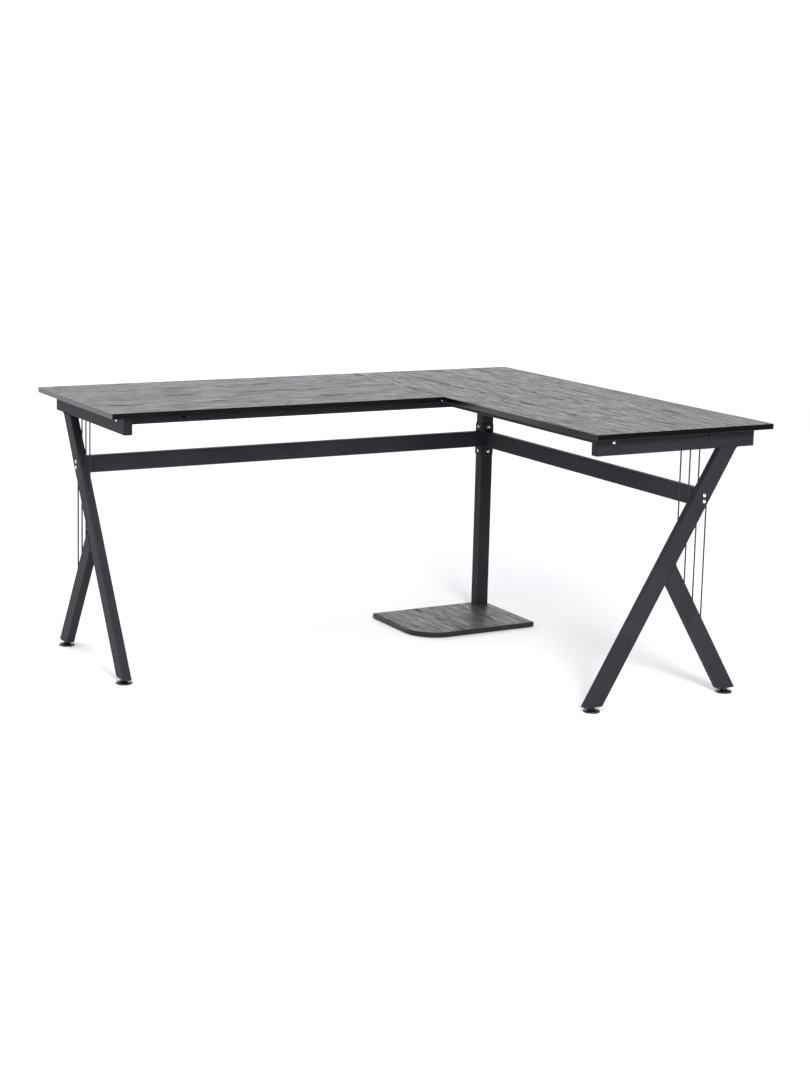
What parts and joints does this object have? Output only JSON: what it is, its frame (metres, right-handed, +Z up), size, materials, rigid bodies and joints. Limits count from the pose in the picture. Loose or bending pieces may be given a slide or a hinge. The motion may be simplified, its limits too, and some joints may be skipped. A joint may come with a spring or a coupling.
{
  "type": "corner desk",
  "caption": "L-shaped corner desk: woodgrain boards on K-shaped tube side frames with upright rods, a corner post on a low shelf, stretchers and levelling feet.",
  "frame": {"origin": "on the floor, under the middle of the whole desk's outline seen from above", "axes": "+X along the long wing towards the corner, +Y towards the wall behind the long wing, +Z up; the return wing runs towards -Y along the +X side"},
  "size_m": [1.6, 1.35, 0.755],
  "materials": {
    "laminate": "matt dark grey woodgrain foil",
    "edge_band": "satin black",
    "frame_paint": "satin charcoal powder coat",
    "bright_steel": "bright zinc plate",
    "plain_steel": "plain",
    "plug_plastic": "matt black",
    "foot_plastic": "glossy black"
  },
  "bodies": {
    "desk": {"long_top": "laminate", "return_top": "laminate", "long_top_band": "edge_band", "return_top_band": "edge_band", "seam_plates": "bright_steel", "seam_screws": "bright_steel", "seam_pin": "bright_steel", "left_top_rail": "frame_paint", "right_top_rail": "frame_paint", "left_long_leg": "frame_paint", "right_long_leg": "frame_paint", "left_short_leg": "frame_paint", "right_short_leg": "frame_paint", "left_rods": "frame_paint", "right_rods": "frame_paint", "left_rail_plugs": "plug_plastic", "right_rail_plugs": "plug_plastic", "left_leg_blocks": "plain_steel", "right_leg_blocks": "plain_steel", "left_rail_screws": "bright_steel", "right_rail_screws": "bright_steel", "long_front_rail": "frame_paint", "return_front_rail": "frame_paint", "front_rail_blocks": "plain_steel", "front_rail_bolts": "bright_steel", "front_rail_screws": "bright_steel", "front_rail_plug": "plug_plastic", "corner_bracket": "frame_paint", "corner_bracket_bolts": "bright_steel", "long_stretcher": "frame_paint", "return_stretcher": "frame_paint", "long_end_plate": "frame_paint", "return_end_plate": "frame_paint", "stretcher_blocks": "plain_steel", "leg_bolts": "bright_steel", "corner_post": "frame_paint", "post_nut_strips": "plain_steel", "post_bolts": "bright_steel", "post_top_plate": "frame_paint", "post_top_screws": "bright_steel", "post_foot_block": "plain_steel", "shelf": "laminate", "shelf_band": "edge_band", "shelf_bolts": "bright_steel", "shelf_pads": "plug_plastic"},
    "left_front_foot": {"left_front_pad": "foot_plastic"},
    "left_front_screw": {"left_front_stem": "bright_steel"},
    "left_back_foot": {"left_back_pad": "foot_plastic"},
    "left_back_screw": {"left_back_stem": "bright_steel"},
    "right_front_foot": {"right_front_pad": "foot_plastic"},
    "right_front_screw": {"right_front_stem": "bright_steel"},
    "right_back_foot": {"right_back_pad": "foot_plastic"},
    "right_back_screw": {"right_back_stem": "bright_steel"}
  },
  "joints": [
    {"name": "left_front_foot_slide", "type": "slide", "parent": "desk", "child": "left_front_foot", "axis": [0, 0, -1], "range_m": [0, 0.012]},
    {"name": "left_front_screw_turn", "type": "hinge", "parent": "left_front_foot", "child": "left_front_screw", "pos_m": [-0.7435, 0.15, 0], "axis": [0, 0, -1], "range_deg": [0, 3457]},
    {"name": "left_back_foot_slide", "type": "slide", "parent": "desk", "child": "left_back_foot", "axis": [0, 0, -1], "range_m": [0, 0.012]},
    {"name": "left_back_screw_turn", "type": "hinge", "parent": "left_back_foot", "child": "left_back_screw", "pos_m": [-0.7435, 0.596, 0], "axis": [0, 0, -1], "range_deg": [0, 3457]},
    {"name": "right_front_foot_slide", "type": "slide", "parent": "desk", "child": "right_front_foot", "axis": [0, 0, -1], "range_m": [0, 0.012]},
    {"name": "right_front_screw_turn", "type": "hinge", "parent": "right_front_foot", "child": "right_front_screw", "pos_m": [0.275, -0.6185, 0], "axis": [0, 0, -1], "range_deg": [0, 3457]},
    {"name": "right_back_foot_slide", "type": "slide", "parent": "desk", "child": "right_back_foot", "axis": [0, 0, -1], "range_m": [0, 0.012]},
    {"name": "right_back_screw_turn", "type": "hinge", "parent": "right_back_foot", "child": "right_back_screw", "pos_m": [0.721, -0.6185, 0], "axis": [0, 0, -1], "range_deg": [0, 3457]}
  ],
  "couplings": [
    {"joint": "left_front_screw_turn", "follows": "left_front_foot_slide", "rad_per_m": 5026.5},
    {"joint": "left_back_screw_turn", "follows": "left_back_foot_slide", "rad_per_m": 5026.5},
    {"joint": "right_front_screw_turn", "follows": "right_front_foot_slide", "rad_per_m": 5026.5},
    {"joint": "right_back_screw_turn", "follows": "right_back_foot_slide", "rad_per_m": 5026.5}
  ]
}
